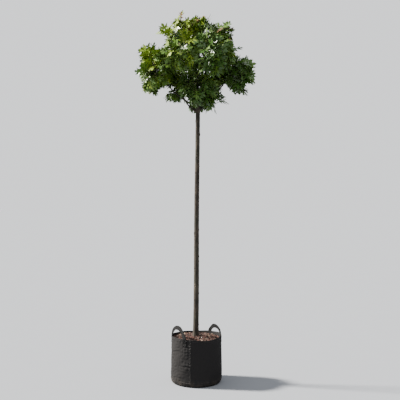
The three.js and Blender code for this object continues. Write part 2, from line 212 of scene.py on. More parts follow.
def crease(azimuth, z, height, middle, half_width, depth):
    """A sharp sag line across the cloth, with the cloth bulging over it:
    -depth exp(-|dz| / 4 mm) below, and a bell of 0.8 depth that stands 11 mm above."""
    line = height + 0.005 * np.sin(5 * azimuth) + 0.003 * np.sin(13 * azimuth + 1)
    share = bell(turned(azimuth, middle), 0, half_width)
    return depth * share * (0.8 * bell(z, line + 0.011, 0.009) - np.exp(-np.abs(z - line) / 0.004))


def wall_relief(azimuth, z):
    """How far the cloth stands out from the even wall: lumps of the compost behind it, a net of crumples
    where a sum of crossing waves changes sign, sag creases, short puckers left of the side seam,
    pleats under the handles' feet, the lap, the hem and the foot's seam."""
    slack = bell(turned(azimuth, SLACK_SIDE), 0, 0.75)
    lumps = np.sin(4 * azimuth + 21 * z) * np.sin(31 * z + 2 * azimuth)
    lumps = lumps + 0.6 * np.sin(9 * azimuth - 47 * z + 1)
    waves = sum(np.sin(level * azimuth + upright * z + level) for level, upright in CRUMPLE_WAVES)
    crumples = np.sqrt(waves**2 / 4 + 0.02)
    relief = LUMP * lumps * (0.7 + 0.8 * slack) + CRUMPLE * crumples * (0.2 + 0.8 * slack)
    for height, middle, half_width, depth in CREASES:
        relief = relief + crease(azimuth, z, height, np.radians(middle), half_width, depth)
    from_seam = turned(azimuth, SEAM_AZIMUTH)
    beside = np.exp(from_seam / 0.22) * (from_seam < 0)
    puckers = np.sin(2 * np.pi * z / PUCKER_PITCH + 2.4 * np.sin(17 * z) + 6 * from_seam)
    relief = relief + PUCKER * beside * puckers * (0.55 + 0.45 * np.sin(39 * z + 1))
    lap = np.clip(1 + from_seam * BAG_RADIUS / LAP_WIDTH, 0, 1) ** 0.5 * (from_seam < 0)
    relief = relief + FOLD * lap
    for middle, _, _ in HANDLES.values():
        for side in (-1, 1):
            off = turned(azimuth, middle + side * HANDLE_SPREAD)
            pleats = bell(off, 0, 0.17) * bell(z, BAG_HEIGHT - 0.075, 0.055)
            relief = relief + PLEAT * pleats * np.cos(off * 58)
    below_rim = rim_height(azimuth) - z
    relief = relief + FOLD / (1 + np.exp((below_rim - HEM_DEPTH) / 0.0006))
    relief = relief - 0.0014 * bell(z, 0.026, 0.0025) + 0.0012 * bell(z, 0.033, 0.005)
    return relief * np.clip(z / 0.012, 0, 1)


def circle(sides):
    """So many azimuths, even round a full turn."""
    return np.linspace(0, 2 * np.pi, sides, endpoint=False)


def about_axis(radius, azimuth, z):
    """Points (..., 3) at a radius, an azimuth and a height about the upright axis."""
    return np.stack([radius * np.cos(azimuth), radius * np.sin(azimuth), z], axis=-1)


def stacked(azimuth, *rows):
    """Rings about the upright axis from rows of (radii, heights), each of them an array, a column that holds
    all the way round, or one number."""
    radius, z, _ = map(np.concatenate, zip(*[np.broadcast_arrays(*row, azimuth) for row in rows]))
    return about_axis(radius, azimuth, z)


def wall_point(azimuth, z, off=0.0):
    """A point on the outside of the bag's upright wall, or off it by so much."""
    radius = bag_radius(azimuth, z) + wall_relief(azimuth, z) + off
    return about_axis(radius, azimuth, z * np.ones_like(azimuth))


def skin(rings):
    """A closed skin over rings of points (rings, sides, 3), as its points and its faces: quads from ring
    to ring, with the first and the last ring fanned to its middle."""
    count, sides, _ = rings.shape
    first = np.arange((count - 1) * sides).reshape(count - 1, sides)
    beside = np.roll(first, -1, axis=1)
    quads = np.stack([first, beside, beside + sides, first + sides], axis=-1).reshape(-1, 4)
    points = np.concatenate([rings.reshape(-1, 3), [rings[0].mean(0), rings[-1].mean(0)]])
    side = np.arange(sides)
    beside = np.roll(side, -1)
    last = (count - 1) * sides
    low = np.stack([np.full(sides, count * sides), beside, side], axis=-1)
    high = np.stack([np.full(sides, count * sides + 1), last + side, last + beside], axis=-1)
    return points, [quads, low, high]


def piece(name, points, face_arrays, paints, slot, crisp=None):
    """A smooth mesh piece from its points and its arrays of faces, on the plant's one body. The second of
    two paints takes the second half of the arrays; crisp is the angle from which an edge is sharp."""
    mesh = bpy.data.meshes.new(name)
    mesh.from_pydata(points.tolist(), [], [face for faces in face_arrays for face in faces.tolist()])
    mesh.shade_smooth()
    if crisp is not None:
        mesh.set_sharp_from_angle(angle=crisp)
    paints = paints if isinstance(paints, (list, tuple)) else [paints]
    for paint in paints:
        mesh.materials.append(paint)
    if len(paints) > 1:
        half = len(face_arrays) // 2
        painted = [np.full(len(faces), int(turn >= half)) for turn, faces in enumerate(face_arrays)]
        mesh.polygons.foreach_set("material_index", np.concatenate(painted))
    made = bpy.data.objects.new(name, mesh)
    bpy.context.scene.collection.objects.link(made)
    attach(made, "root")
    return made


def bag_rings(sides=432):
    """Rings along the cloth, from the middle of the underside round the foot and up the wall,
    over the folded rim, and down inside to the middle of the floor."""
    azimuth = circle(sides)[None, :]
    rim = rim_height(azimuth)
    shoulder = rim - ROLL_HEIGHT
    lay = np.array([0.06, 0.35, 0.7, 0.94])[:, None]
    under = (lay * FOOT_RADIUS, 0.0)
    bend = np.linspace(0, np.pi / 2, 10)[:, None]
    foot_z = FOOT_HEIGHT * (1 - np.cos(bend))
    share = lerp(FOOT_RADIUS / BAG_RADIUS, 1, np.sin(bend) ** 0.9)
    foot = (share * bag_radius(azimuth, foot_z) + wall_relief(azimuth, foot_z), foot_z)
    wall_z = lerp(FOOT_HEIGHT, shoulder, np.linspace(0, 1, 110)[1:, None])
    wall = (bag_radius(azimuth, wall_z) + wall_relief(azimuth, wall_z), wall_z)
    top = wall[0][-1:]
    roll = np.linspace(0, np.pi, 7)[1:-1, None]
    thick = BAG_WALL + FOLD
    rolled = (top - thick * (1 - np.cos(roll)) / 2, shoulder + ROLL_HEIGHT * np.sin(roll))
    inner_z = lerp(shoulder, BAG_WALL, np.linspace(0, 1, 24)[:, None])
    inner = (bag_radius(azimuth, inner_z) - BAG_WALL - 0.03 * bell(inner_z, 0, 0.02), inner_z)
    floor = (lay[::-1] * FOOT_RADIUS * 0.9, BAG_WALL)
    return stacked(azimuth, under, foot, wall, rolled, inner, floor)


def felt():
    """Matted fibres: fine pale flecks on black, cloudy wear, and dust that has settled low down."""
    paint = Paint("black felt", Specular_IOR_Level=0.05)
    fibres = paint.noise(620, 3)
    strands = paint.noise(240, 2, (1, 1, 3.5))
    clouds = paint.noise(21, 4)
    height = paint.split(paint.place)[2]
    flecks = paint.between(fibres * 0.6 + strands * 0.4, 0.42, 0.66)
    worn = paint.mix(flecks * 0.55 + clouds * 0.35, BLACK_FELT, WORN_FELT)
    low = 1 - paint.between(height, 0.004, 0.075)
    dusty = paint.mix(low * paint.between(clouds, 0.35, 0.7) * 0.45, worn, DUST)
    return paint.finish(dusty, 0.82 + flecks * 0.14, fibres * 0.65 + strands * 0.35, 0.0011)


black_felt = felt()
grow_bag = piece("grow_bag_cloth", *skin(bag_rings()), black_felt, "fabric")
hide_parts("grow_bag")

# ---------------------------------------------------------------- bag stitching
# Bonded black thread, a lockstitch of about 5 mm, which stands proud of the cloth.
# It holds the hem down, closes the side seam in two rows and joins the base to the wall.

STITCH = 0.0046
STITCH_GAP = 0.0016
THREAD_RADIUS = 0.00055
FOOT_ROW = 0.0385  # height of the row that joins the base to the wall
RESTING = 0.0003  # how far off the cloth a thing lies on it
THREAD_BLACK = (0.022, 0.022, 0.024, 1)


def repeated(shape, origins, axes):
    """Copies of a shape: each point is its origin + x first axis + y second + z third.
    The origins are (n, 3) and the axes (n, 3, 3)."""
    return (origins[:, None] + np.einsum("kj,njc->nkc", shape, axes)).reshape(-1, 3)


def renumbered(faces, size, copies):
    """The faces of each copy of a shape that has so many points."""
    return (faces[None] + size * np.arange(copies)[:, None, None]).reshape(-1, faces.shape[1])


def grain():
    """A stitch between -1/2 and 1/2 along x: two square rings of radius 1 between pointed ends."""
    ring = np.array([[0, 1, 0], [0, 0, 1], [0, -1, 0], [0, 0, -1]], float)
    points = np.concatenate([[[-0.5, 0, -0.6]], ring + [-0.28, 0, 0], ring + [0.28, 0, 0], [[0.5, 0, -0.6]]])
    side = np.arange(4)
    beside = np.roll(side, -1)
    quads = np.stack([1 + side, 1 + beside, 5 + beside, 5 + side], axis=-1)
    first = np.stack([0 * side, 1 + beside, 1 + side], axis=-1)
    last = np.stack([0 * side + 9, 5 + side, 5 + beside], axis=-1)
    return points, quads, np.concatenate([first, last])


def unit(vectors):
    """Vectors brought to length 1."""
    return vectors / np.linalg.norm(vectors, axis=-1, keepdims=True)


def square_to(along, vectors):
    """Vectors (n, 3) turned square to the directions along, and brought to length 1."""
    return unit(vectors - along * (vectors * along).sum(1, keepdims=True))


def run_along(path):
    """How far along a path of points (n, 3) each of them lies."""
    return np.concatenate([[0], np.cumsum(np.linalg.norm(np.diff(path, axis=0), axis=1))])


def read_off(places, run, values):
    """Rows of values (n, 3) that stand at points of a run, read off between them at other places."""
    return np.stack([np.interp(places, run, column) for column in values.T], axis=-1)


def grains(name, origins, axes, paint, slot):
    """One piece of many grains, each stretched to axes of its own."""
    shape, quads, ends = grain()
    faces = [renumbered(kind, len(shape), len(origins)) for kind in (quads, ends)]
    return piece(name, repeated(shape, origins, axes), faces, paint, slot)


def stitches(path, outward):
    """Stitches laid end to end along a path of points (n, 3), each square to its outward direction."""
    run = run_along(path)
    count = int(run[-1] / (STITCH + STITCH_GAP))
    middle = (np.arange(count) + 0.5) * run[-1] / count
    along = unit(read_off(middle + STITCH / 2, run, path) - read_off(middle - STITCH / 2, run, path))
    up = square_to(along, read_off(middle, run, outward))
    axes = np.stack([along * STITCH, np.cross(up, along) * THREAD_RADIUS, up * THREAD_RADIUS], axis=1)
    return read_off(middle, run, path), axes


def radial(points):
    """Level directions straight out from the bag's axis."""
    return unit(points * [1, 1, 0])


def thread():
    """Round glossy thread, a little dustier from ply to ply."""
    paint = Paint("bonded thread", Specular_IOR_Level=0.5)
    ply = paint.noise(1500, 1)
    return paint.finish(paint.mix(ply, THREAD_BLACK, WORN_FELT), 0.38 + ply * 0.2, ply, 0.0002)


def sewn(name, rows, paint):
    """One piece of all the stitches along several rows, each a path and its outward directions."""
    laid = [stitches(path, outward) for path, outward in rows]
    origins = np.concatenate([origin for origin, _ in laid])
    axes = np.concatenate([axis for _, axis in laid])
    return grains(name, origins, axes, paint, "webbing")


def bag_rows():
    """The hem's row round the rim, two rows down the side seam and one round the foot."""
    azimuth = np.linspace(0, 2 * np.pi, 800)
    up_seam = np.linspace(0.040, BAG_HEIGHT - 0.004, 200)
    paths = [wall_point(azimuth, rim_height(azimuth) - 0.75 * HEM_DEPTH, RESTING)]
    paths.append(wall_point(azimuth, FOOT_ROW + 0 * azimuth, RESTING))
    for inset in (0.25, 0.75):
        lean = SEAM_AZIMUTH - inset * LAP_WIDTH / BAG_RADIUS
        paths.append(wall_point(lean + 0 * up_seam, up_seam, RESTING))
    return [(path, radial(path)) for path in paths]


black_thread = thread()
sewn("bag_stitching", bag_rows(), black_thread)

# ---------------------------------------------------------------- handles
# Two loops of black woven polypropylene webbing, 34 mm wide. Each foot is sewn flat to the wall,
# through the hem, with a box of stitches and a cross. The loop stands by the webbing's own stiffness.

STRAP_WIDTH = 0.034
STRAP_THICKNESS = 0.0022
STRAP_FOOT = 0.060  # sewn length below the rim
STRAP_FREE = 0.004  # height above the rim at which it leaves the wall
FOOT_SHARE = 0.18  # of the strap's steps, at each end
LOOP_ROUNDNESS = 2.4  # power of the loop's outline: 1 is a tent, 2 a parabola
TURN_SHARE = 0.16  # of the free loop, over which each leg turns from the wall into the loop's plane
LEAN_SHARE = 0.40  # and over which it comes to its full lean
BOX_ENDS = (0.10, 0.78)  # of the stitched box, as shares of the foot's length
BOX_REACH = 0.39  # of the strap's width, to each side
EDGE_POWER = 0.55  # of the strap's section: 1 is an oval, and less fills out its corners
RIB = 0.0021  # pitch of the weave along the strap
WARP = 0.0026  # and across it
# The weave's colours are painted shade for its hollows and painted light for its ridges.
SHADED_WEAVE, LIT_WEAVE = (0.002, 0.002, 0.0024, 1), (0.009, 0.0087, 0.0087, 1)
UP = np.array([0, 0, 1.0])


def smooth_step(x):
    """From 0 to 1 with no corner at either end: x squared times 3 - 2x."""
    x = np.clip(x, 0, 1)
    return x * x * (3 - 2 * x)


def strap_path(middle, arch, lean, steps=160):
    """The strap's centre line, its direction and its face's: flat on the wall at both feet, then a hoop
    in the plane through them. Each leg turns into that plane and the top leans out, by smooth steps."""
    t = np.linspace(0, 1, steps + 1)
    across = (t - FOOT_SHARE) / (1 - 2 * FOOT_SHARE)
    azimuth = middle + np.where(t < 0.5, -1, 1) * HANDLE_SPREAD
    climb = np.clip(np.minimum(t, 1 - t) / FOOT_SHARE, 0, 1)
    z = rim_height(azimuth) + STRAP_FREE - STRAP_FOOT * (1 - climb)
    centre = wall_point(azimuth, np.minimum(z, BAG_HEIGHT), STRAP_THICKNESS / 2 + RESTING)
    centre[:, 2] = z
    free = (across > 0) & (across < 1)
    first, last = np.flatnonzero(free)[[0, -1]]
    share = across[free]
    centre[free] = lerp(centre[first - 1], centre[last + 1], share[:, None])
    centre[free, 2] += arch * (1 - np.abs(2 * share - 1) ** LOOP_ROUNDNESS)
    window = np.ones(7) / 7
    margin = len(window) // 2
    strides = np.pad(np.gradient(centre, axis=0), ((margin, margin), (0, 0)), "edge")
    along = unit(np.stack([np.convolve(column, window, "valid") for column in strides.T], axis=-1))
    chord = centre[last + 1] - centre[first - 1]
    crown = unit(np.cross(along, np.cross(chord, UP)))
    rise = np.minimum(across, 1 - across)[:, None]
    outward = lerp(radial(centre), [np.cos(middle), np.sin(middle), 0], smooth_step(rise / TURN_SHARE))
    twist = lean * smooth_step(rise / LEAN_SHARE)
    return centre, along, square_to(along, outward * np.cos(twist) - crown * np.sin(twist))


def rounded(angle):
    """Cosine of an angle, filled out towards a square with rounded corners."""
    return np.sign(np.cos(angle)) * np.abs(np.cos(angle)) ** EDGE_POWER


def strap_rings(centre, along, face, sides=24):
    """A flat section with rounded edges carried along the path, and each point's place in the weave:
    its distance across the strap and along it."""
    angle = circle(sides)
    flat = rounded(angle) * STRAP_WIDTH / 2
    thick = rounded(angle - np.pi / 2) * STRAP_THICKNESS / 2
    width = np.cross(face, along)
    rings = centre[:, None] + width[:, None] * flat[:, None] + face[:, None] * thick[:, None]
    weave = np.stack(np.broadcast_arrays(flat[None], run_along(centre)[:, None], 0.0), axis=-1)
    return rings, np.concatenate([weave.reshape(-1, 3), [weave[0].mean(0), weave[-1].mean(0)]])


def webbing():
    """Ribbed weave: ridges across the strap, stepped from one warp column to the next, with painted
    shade in the hollows and painted light on the ridges.
    """
    paint = Paint("woven webbing", Specular_IOR_Level=0.06)
    cloth = paint.node("ShaderNodeAttribute", {"attribute_name": "weave"}, {}, "Vector")
    across, along, _ = paint.split(cloth)
    columns = paint.wave(across / WARP)
    ribs = paint.wave(along / RIB + columns * 0.25)
    fuzz = paint.noise(900)
    height = ribs * 0.6 + columns * 0.25 + fuzz * 0.15
    # Painted light and shade: the colour follows the weave's height, with a little random fuzz.
    colour = paint.mix(height * 0.75 + fuzz * 0.25, SHADED_WEAVE, LIT_WEAVE)
    return paint.finish(colour, 0.85 - height * 0.15, height, 0.0006)


def foot_row(centre, along, face):
    """A box with a cross through it, sewn through one foot: a path over the foot's face, whose corners
    are shares of its length and of its half width."""
    corners = np.array([[0, -1], [0, 1], [1, 1], [1, -1], [0, -1], [1, 1], [1, -1], [0, 1]])
    legs = np.linspace(0, len(corners) - 1, 20 * len(corners))
    length, sideways = (np.interp(legs, np.arange(len(corners)), corner) for corner in corners.T)
    index = lerp(*BOX_ENDS, length) * (len(centre) - 1)
    steps = np.arange(len(centre))
    middle, width, outward = (read_off(index, steps, row) for row in (centre, np.cross(along, face), face))
    reach = (sideways * BOX_REACH * STRAP_WIDTH)[:, None]
    return middle + width * reach + outward * (STRAP_THICKNESS / 2 + RESTING / 3), outward


woven_webbing = webbing()
feet = []
for name, (middle, arch, lean) in HANDLES.items():
    line = strap_path(middle, arch, lean)
    rings, weave = strap_rings(*line)
    strap = piece(name + "_strap", *skin(rings), woven_webbing, "webbing", crisp=np.radians(70))
    strap.data.attributes.new("weave", "FLOAT_VECTOR", "POINT").data.foreach_set("vector", weave.ravel())
    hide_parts(name)
    sewn_steps = int(FOOT_SHARE * len(line[0]))
    feet.append(foot_row(*[values[:sewn_steps] for values in line]))
    feet.append(foot_row(*[values[::-1][:sewn_steps] for values in line]))
sewn("handle_stitching", feet, black_thread)

# ---------------------------------------------------------------- root ball
# Moist dark compost, bound by the roots, which fills the cloth to just under the mulch.
# It is one crumbly block that takes its shape from the bag.

SOIL_TOP = 0.345
SOIL_CLEARANCE = 0.0008  # from the cloth
DARK_SOIL, PALE_SOIL = (0.010, 0.006, 0.004, 1), (0.075, 0.045, 0.028, 1)


def earth_rings(sides=144):
    """Rings from under the block up its wall and in over its crumbled top, lumps by products of sines."""
    azimuth = circle(sides)[None, :]
    share = np.array([0.1, 0.5, 0.9])[:, None]
    under = (share * FOOT_RADIUS * 0.9, 0.0036)
    wall_z = np.linspace(0.020, SOIL_TOP - 0.001, 24)[:, None]
    foot = 0.030 * bell(wall_z, 0, 0.022)
    wall = (bag_radius(azimuth, wall_z) - BAG_WALL - SOIL_CLEARANCE - foot, wall_z)
    top_radius = np.linspace(0.97, 0.03, 22)[:, None] * (BAG_RADIUS - 0.006)
    crumbs = np.sin(61 * top_radius * np.cos(azimuth) + 2) * np.sin(73 * top_radius * np.sin(azimuth))
    return stacked(azimuth, under, wall, (top_radius, SOIL_TOP - 0.001 + 0.001 * crumbs))


def compost():
    """Dark crumbs, with paler fibres lying level among them."""
    paint = Paint("moist compost", Specular_IOR_Level=0.3)
    crumbs = paint.noise(140, 6)
    fibre = paint.noise(420, 2, (1, 0.2, 1))
    colour = paint.mix(crumbs * 0.7 + fibre * 0.3, DARK_SOIL, PALE_SOIL)
    return paint.finish(colour, 0.85 + crumbs * 0.1, crumbs * 0.8 + fibre * 0.2, 0.003)


root_ball = piece("root_ball_compost", *skin(earth_rings()), compost(), "soil")
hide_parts("root_ball")

# ---------------------------------------------------------------- mulch
# A loose layer of coarse pine-bark chips, raked up a little against the stem.
# The chips are split slabs of many sizes, from wet dark brown to faded cream, over a bed of fines.

MULCH_EDGE = 0.352
MULCH_CROWN = 0.372  # against the stem
FINES_DEPTH = 0.005  # of their top, under the layer's
# The fines' colours are painted shade, nearly black, between the crumbs and painted light on their tops.
DARK_SHADED_FINES, RUST_LIT_FINES = (0.012, 0.007, 0.005, 1), (0.110, 0.058, 0.040, 1)
CHIP_COUNT = 1700
CHIP_SHAPES = 5  # of each kind
CHIP_RING = (0.036, 0.189)  # from the stem to the wall
CHIP_RAISED = (-0.0045, 0.0030)  # over the layer's top
CHIP_LENGTH = (0.014, 0.036)
CHIP_WIDTH = (0.32, 0.62)  # of its length
CHIP_THICKNESS = (0.003, 0.0075)
CHIP_TIP, CHIP_ROLL = 0.30, 0.34  # spread of the angles, in radians
ALONG_WALL = 0.165  # radius from which chips begin to lie along the wall
CHIP_KINDS = {  # share of the chips, dark grain colour, pale grain colour
    "mulch_brown": (0.38, (0.014, 0.0057, 0.0042, 1), (0.052, 0.023, 0.015, 1)),
    "mulch_red": (0.28, (0.034, 0.012, 0.0085, 1), (0.095, 0.039, 0.027, 1)),
    "mulch_dark": (0.26, (0.006, 0.0035, 0.0028, 1), (0.025, 0.013, 0.010, 1)),
    "mulch_pale": (0.08, (0.115, 0.072, 0.048, 1), (0.270, 0.200, 0.145, 1)),
}


def mulch_height(x, y):
    """The layer's top: a cone from the stem down to the wall, with lumps by products of sines."""
    radius = np.hypot(x, y)
    azimuth = np.arctan2(y, x)
    lumps = 0.003 * np.sin(7 * azimuth + 31 * radius) * np.sin(11 * azimuth - 17 * radius)
    return lerp(MULCH_CROWN, MULCH_EDGE, radius / BAG_RADIUS) + lumps * np.clip(radius / 0.05, 0, 1)


def bed_rings(sides=180):
    """The fines between and under the chips: a flat underside, then the layer's top, a little lower."""
    azimuth = circle(sides)[None, :]
    inner_wall = bag_radius(azimuth, MULCH_EDGE) - BAG_WALL - 0.0006
    low = np.array([0.15, 0.6, 0.999])[:, None] * inner_wall
    high = np.linspace(0.998, 0.10, 40)[:, None] * inner_wall
    top = mulch_height(high * np.cos(azimuth), high * np.sin(azimuth)) - FINES_DEPTH
    crumbs = 0.0012 * np.sin(210 * high * np.cos(azimuth)) * np.sin(190 * high * np.sin(azimuth) + 1)
    return stacked(azimuth, (low, SOIL_TOP + 0.0008), (high, np.maximum(top + crumbs, SOIL_TOP + 0.0012)))


def chip_shape(draw, corners=7):
    """A split slab between -1/2 and 1/2 along x and y: an uneven outline that is widest at mid height,
    ragged at both ends, under a face that is a little cupped."""
    angle = circle(corners) + draw.uniform(-0.25, 0.25, corners)
    reach = draw.uniform(0.38, 0.52, corners)
    outline = np.stack([np.cos(angle) * reach, np.sin(angle) * reach], axis=-1)
    rings = []
    for height, share in ((-0.5, 0.80), (-0.05, 1.0), (0.42, 0.93), (0.5, 0.62)):
        level = height + draw.uniform(-0.12, 0.12, corners) + 0.5 * outline[:, 0] ** 2
        rings.append(np.column_stack([outline * share * draw.uniform(0.93, 1.07, (corners, 1)), level]))
    return np.array(rings)


def chip_places(count, draw):
    """Where the chips lie: even over the layer, turned any way, and tipped and rolled by normal spreads.
    By the wall they turn to lie along it, and tip less."""
    near, far = CHIP_RING
    radius = np.sqrt(draw.uniform(near**2, far**2, count))
    azimuth = draw.uniform(0, 2 * np.pi, count)
    x, y = radius * np.cos(azimuth), radius * np.sin(azimuth)
    z = mulch_height(x, y) + draw.uniform(*CHIP_RAISED, count)
    length = draw.uniform(*CHIP_LENGTH, count)
    width = length * draw.uniform(*CHIP_WIDTH, count)
    thick = draw.uniform(*CHIP_THICKNESS, count)
    rim = np.clip((radius - ALONG_WALL) / 0.02, 0, 1)
    turn = lerp(draw.uniform(0, 2 * np.pi, count), azimuth + np.pi / 2, rim)
    tip = draw.normal(0, CHIP_TIP, count) * (1 - 0.6 * rim)
    roll = draw.normal(0, CHIP_ROLL, count)
    level = np.stack([np.cos(turn), np.sin(turn), 0 * turn], axis=-1)
    beside = np.stack([-np.sin(turn), np.cos(turn), 0 * turn], axis=-1)
    along = level * np.cos(tip)[:, None] + UP * np.sin(tip)[:, None]
    across = beside * np.cos(roll)[:, None] + UP * np.sin(roll)[:, None]
    normal = np.cross(along, across)
    axes = np.stack([along * length[:, None], across * width[:, None], normal * thick[:, None]], axis=1)
    return np.stack([x, y, z], axis=-1), axes


def bark_chip(name, dark, pale):
    """Split bark: fine long grain over broader patches of light and dark."""
    paint = Paint(name.replace("_", " "), Specular_IOR_Level=0.3)
    broad = paint.noise(55, 3)
    grain_lines = paint.noise(330, 4, (1, 0.35, 0.7))
    tone = paint.between(broad * 0.55 + grain_lines * 0.45, 0.34, 0.68)
    return paint.finish(paint.mix(tone, dark, pale), 0.78 + grain_lines * 0.18, grain_lines, 0.0012)


def fines():
    """Crumbs of dark bark, coloured by their relief: rust-brown on their tops as painted light,
    and nearly black between them as painted shade.
    """
    paint = Paint("mulch fines", Specular_IOR_Level=0.2)
    crumbs = paint.noise(260, 5)
    # Painted light and shade: lighter where the crumbs stand high, darker between them.
    colour = paint.mix(paint.between(crumbs, 0.35, 0.7), DARK_SHADED_FINES, RUST_LIT_FINES)
    return paint.finish(colour, 0.9, crumbs, 0.003)


mulch_bed = piece("mulch_bed", *skin(bed_rings()), fines(), "mulch")
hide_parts("mulch_layer")
draw = np.random.default_rng(7)
for name, (share, dark, pale) in CHIP_KINDS.items():
    paint = bark_chip(name, dark, pale)
    points, quads, ends = [], [], []
    for _ in range(CHIP_SHAPES):
        shape, (sides_of, low, high) = skin(chip_shape(draw))
        count = int(CHIP_COUNT * share / CHIP_SHAPES)
        origins, axes = chip_places(count, draw)
        shift = sum(len(heap) for heap in points)
        points.append(repeated(shape, origins, axes))
        quads.append(renumbered(sides_of, len(shape), count) + shift)
        ends.append(renumbered(np.concatenate([low, high]), len(shape), count) + shift)
    arrays = [np.concatenate(quads), np.concatenate(ends)]
    piece(name, np.concatenate(points), arrays, paint, "mulch", crisp=np.radians(35))

# ---------------------------------------------------------------- trunk
# One straight clear stem, raised in the nursery row and grafted at its head. The young bark is thin
# and grey-brown, with shallow fissures, pale lenticels, old bud scars and a few healed pruning cuts.

TRUNK_FOOT = 0.3453
TRUNK_TOP = 2.335
TRUNK_FOOT_RADIUS = 0.0235
TRUNK_HEAD_RADIUS = 0.0175
GRAFT_HEIGHT = 2.262
NODE_PITCH = 0.052  # between old bud scars, which climb by two fifths of a turn
SCARRED = (0.46, 2.18)  # heights between which they show
PRUNED = (  # height and azimuth of each healed cut
    (0.78, -2.1), (1.02, 0.6), (1.21, -2.7), (1.47, -0.9),
    (1.66, 1.9), (1.83, -1.8), (2.02, -0.2), (2.13, 2.7),
)
DOME = ((0.006, 0.93), (0.003, 0.80), (0.001, 0.58), (0.0, 0.30))  # below the top, and share of the radius
DARK_RIND, RIND = (0.008, 0.0062, 0.0044, 1), (0.036, 0.027, 0.019, 1)
ALGAE = (0.016, 0.018, 0.010, 1)
PALE_RIND = (0.066, 0.054, 0.040, 1)
LENTICEL = (0.075, 0.051, 0.032, 1)


def trunk_axis(z):
    """The stem's centre: a slight lean to the viewer's right, with a slight double bend."""
    t = (z - TRUNK_FOOT) / (TRUNK_TOP - TRUNK_FOOT)
    return np.stack([-0.004 + 0.017 * t + 0.0015 * np.sin(9 * t), 0.002 * np.sin(7 * t + 0.5), z], axis=-1)


def trunk_radius(z):
    """An even taper, a flare at the root collar and a swelling at the graft."""
    t = (z - TRUNK_FOOT) / (TRUNK_TOP - TRUNK_FOOT)
    flare = 0.010 * np.exp(-(z - TRUNK_FOOT) / 0.038)
    return lerp(TRUNK_FOOT_RADIUS, TRUNK_HEAD_RADIUS, t) + flare + 0.009 * bell(z, GRAFT_HEIGHT, 0.042)


def bark_relief(angle, z):
    """How far the bark stands out: ridges of the root collar, long shallow fissures that wander round
    the stem, the cushion under each old bud, healed pruning cuts, and the knuckled line of the graft."""
    relief = 0.0024 * np.cos(5 * angle) * np.exp(-(z - TRUNK_FOOT) / 0.026)
    for count, climb, wander in ((9, 5.0, 0.9), (14, -7.0, 0.7)):
        line = np.abs(np.sin(count * angle / 2 + climb * z + wander * np.sin(23 * z + count)))
        patch = 0.5 + 0.5 * np.sin(11 * z + 2 * angle + count)
        relief = relief - 0.0009 * np.exp(-line / 0.11) * patch
    relief = relief + 0.0004 * np.sin(6 * angle + 40 * z) * np.sin(3 * angle - 65 * z)
    radius = trunk_radius(z)
    for index, height in enumerate(np.arange(*SCARRED, NODE_PITCH)):
        away = turned(angle, 0.8 * np.pi * index) * radius
        cushion = bell(away, 0, 0.008) * bell(z, height, 0.0070)
        crease_under = bell(away, 0, 0.011) * bell(z, height - 0.0095, 0.0022)
        relief = relief + 0.0021 * cushion - 0.0011 * crease_under
    for height, side in PRUNED:
        reach = np.hypot(turned(angle, side) * radius / 0.8, z - height)
        relief = relief + 0.0022 * bell(reach, 0.0095, 0.0038) - 0.0006 * bell(reach, 0, 0.0060)
    union = np.abs(z - GRAFT_HEIGHT + 0.012 - 0.011 * np.sin(angle + 0.6))
    relief = relief - 0.0016 * np.exp(-union / 0.0035)
    return relief + 0.0014 * bell(z, GRAFT_HEIGHT, 0.030) * np.sin(7 * angle + 90 * z)


def trunk_rings(sides=104):
    """Level rings from the flat cut at the root ball to the domed head."""
    angle = circle(sides)[None, :]
    below, narrowed = np.array(DOME).T
    stem = np.linspace(TRUNK_FOOT, TRUNK_TOP - 0.010, 720)
    z = np.concatenate([stem, TRUNK_TOP - below])[:, None]
    share = np.concatenate([np.ones(len(stem)), narrowed])[:, None]
    radius = share * (trunk_radius(z) + bark_relief(angle, z))
    return trunk_axis(z[:, 0])[:, None] + about_axis(radius, angle, 0 * radius)


def young_bark():
    """Grey-brown rind: streaks along the stem, a green film of algae, paler patches and lenticels."""
    paint = Paint("young bark", Specular_IOR_Level=0.3)
    streaks = paint.noise(130, 4, (1, 1, 0.16))
    mottle = paint.noise(34, 5, (1, 1, 0.6))
    film = paint.noise(9, 3, (1, 1, 0.5))
    fine = paint.noise(420, 3, (1, 1, 0.7))
    rind = paint.mix(paint.between(streaks * 0.5 + mottle * 0.5, 0.36, 0.66), DARK_RIND, RIND)
    green = paint.mix(paint.between(film, 0.46, 0.62) * 0.45, rind, ALGAE)
    pale = paint.mix(paint.between(mottle * 0.6 + film * 0.4, 0.56, 0.68) * 0.55, green, PALE_RIND)
    inputs = {"Vector": paint.stretched((1, 1, 2.4)), "Scale": 74}
    spots = paint.node("ShaderNodeTexVoronoi", {"feature": "F1"}, inputs, "Distance")
    lenticel = 1 - paint.between(spots, 0.10, 0.19)
    colour = paint.mix(lenticel * 0.7, pale, LENTICEL)
    height = streaks * 0.45 + fine * 0.2 + mottle * 0.2 + lenticel * 0.3
    return paint.finish(colour, 0.80 + fine * 0.15, height, 0.0018)


bark = young_bark()
trunk = piece("trunk_bark", *skin(trunk_rings()), bark, "bark")
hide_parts("trunk")

# ---------------------------------------------------------------- boughs
# The main limbs of the grafted head, all struck from the swollen union within a hand's breadth.
# Each leaves the stem outwards, bends up and ends as the leading stem of its own mass of foliage.

